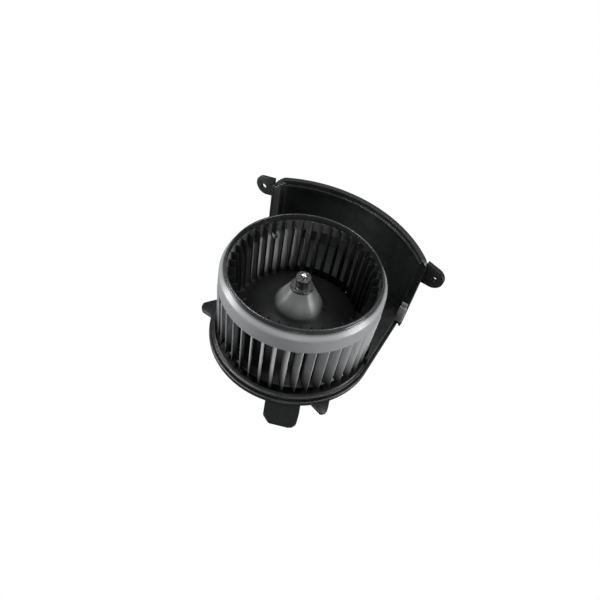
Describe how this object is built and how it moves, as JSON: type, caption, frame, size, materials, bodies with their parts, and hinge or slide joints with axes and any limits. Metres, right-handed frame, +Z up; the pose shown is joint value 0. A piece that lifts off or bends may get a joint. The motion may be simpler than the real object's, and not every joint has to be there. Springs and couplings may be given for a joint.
{
  "type": "cabin blower motor and wheel",
  "caption": "Squirrel-cage blower wheel on a direct-current motor, carried by a round base plate with a removable segment of scroll wall and fixing ears.",
  "frame": {"origin": "on the wheel axis, at the centre of the motor's flat end face", "axes": "+Z up along the wheel axis to the inlet, +Y towards the middle of the scroll wall, +X across, seen from the inlet with the wall at the top"},
  "size_m": [0.2159, 0.2063, 0.147],
  "materials": {
    "wheel_plastic": "satin moulded black plastic",
    "ring_plastic": "satin moulded black plastic, brighter sheen",
    "housing_plastic": "fine grained black plastic",
    "clip_plastic": "satin dark grey plastic",
    "steel": "turned and plated",
    "lamination": "stamped electrical steel",
    "motor_steel": "zinc plated deep-drawn steel",
    "copper": "enamelled copper",
    "bronze": "plain",
    "nylon": "natural nylon",
    "ferrite": "ground ferrite",
    "card": "phenolic board",
    "carbon": "pressed carbon",
    "rubber": "matt moulded rubber"
  },
  "bodies": {
    "carrier": {"base_plate": "housing_plastic", "scroll_wall": "housing_plastic", "clip_left": "clip_plastic", "clip_right": "clip_plastic", "connector_socket": "housing_plastic", "terminals": "bronze", "motor_isolators": "rubber", "motor_screws": "steel", "motor_can": "motor_steel", "field_magnets": "ferrite", "end_cap": "motor_steel", "upper_bearing": "bronze", "lower_bearing": "bronze", "bearing_retainers": "steel", "brush_card": "card", "brush_holders": "bronze", "chokes": "copper", "brush_spring_left": "steel", "brush_spring_right": "steel"},
    "rotor": {"fan_wheel": "wheel_plastic", "wheel_ring": "ring_plastic", "hub_insert": "steel", "shaft_clip": "steel", "balance_clip": "steel", "motor_shaft": "steel", "armature_core": "lamination", "armature_windings": "copper", "commutator": "copper", "thrust_washers": "nylon"},
    "left_brush": {"brush_left": "carbon"},
    "right_brush": {"brush_right": "carbon"}
  },
  "joints": [
    {"name": "wheel_spin", "type": "hinge", "parent": "carrier", "child": "rotor", "pos_m": [0, 0, 0], "axis": [0, 0, 1], "continuous": true},
    {"name": "right_brush_slide", "type": "slide", "parent": "carrier", "child": "right_brush", "axis": [1, 0, 0], "range_m": [0, 0.003], "stiffness_N_per_m": 150, "springref_m": -0.01, "deforming": ["brush_spring_right"]},
    {"name": "left_brush_slide", "type": "slide", "parent": "carrier", "child": "left_brush", "axis": [-1, 0, 0], "range_m": [0, 0.003], "stiffness_N_per_m": 150, "springref_m": -0.01, "deforming": ["brush_spring_left"]}
  ]
}
